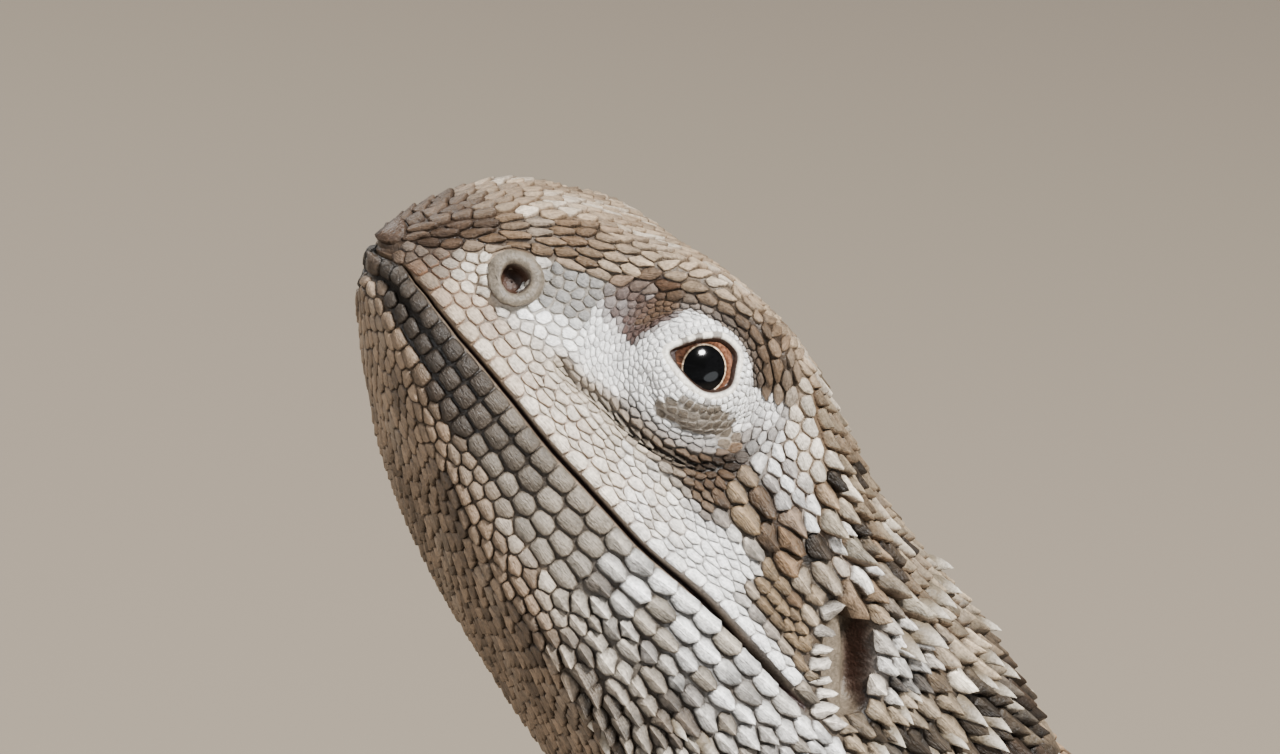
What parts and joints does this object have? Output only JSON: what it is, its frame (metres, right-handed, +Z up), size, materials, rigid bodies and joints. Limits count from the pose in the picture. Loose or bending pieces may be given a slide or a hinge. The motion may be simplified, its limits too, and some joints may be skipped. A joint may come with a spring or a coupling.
{
  "type": "bearded dragon",
  "caption": "Still, life-size model of a spiny lizard with a broad low body, its head raised on propped forelegs, belly and tail on the floor.",
  "frame": {"origin": "on the floor under the middle of the body, on the belly's flat", "axes": "+X runs forward, from the tail to the head; +Y is the animal's left; +Z is up"},
  "size_m": [0.3794, 0.168, 0.1064],
  "materials": {
    "scaly_skin": "dry, finely scaled skin in cream, grey and tan",
    "claw_horn": "dark smooth horn",
    "eye_wet": "wet, dark and glossy"
  },
  "bodies": {
    "root": {"eye_left": "eye_wet", "eye_right": "eye_wet", "foot_left": "scaly_skin", "foot_left_claw_1": "claw_horn", "foot_left_claw_2": "claw_horn", "foot_left_claw_3": "claw_horn", "foot_left_claw_4": "claw_horn", "foot_left_claw_5": "claw_horn", "foot_right": "scaly_skin", "foot_right_claw_1": "claw_horn", "foot_right_claw_2": "claw_horn", "foot_right_claw_3": "claw_horn", "foot_right_claw_4": "claw_horn", "foot_right_claw_5": "claw_horn", "forearm_left": "scaly_skin", "forearm_right": "scaly_skin", "hand_left": "scaly_skin", "hand_left_claw_1": "claw_horn", "hand_left_claw_2": "claw_horn", "hand_left_claw_3": "claw_horn", "hand_left_claw_4": "claw_horn", "hand_left_claw_5": "claw_horn", "hand_right": "scaly_skin", "hand_right_claw_1": "claw_horn", "hand_right_claw_2": "claw_horn", "hand_right_claw_3": "claw_horn", "hand_right_claw_4": "claw_horn", "hand_right_claw_5": "claw_horn", "head": "scaly_skin", "lower_jaw": "scaly_skin", "neck": "scaly_skin", "shank_left": "scaly_skin", "shank_right": "scaly_skin", "tail_1": "scaly_skin", "tail_2": "scaly_skin", "tail_3": "scaly_skin", "tail_4": "scaly_skin", "tail_5": "scaly_skin", "thigh_left": "scaly_skin", "thigh_right": "scaly_skin", "torso_front": "scaly_skin", "torso_rear": "scaly_skin", "upper_arm_left": "scaly_skin", "upper_arm_right": "scaly_skin"}
  },
  "joints": []
}
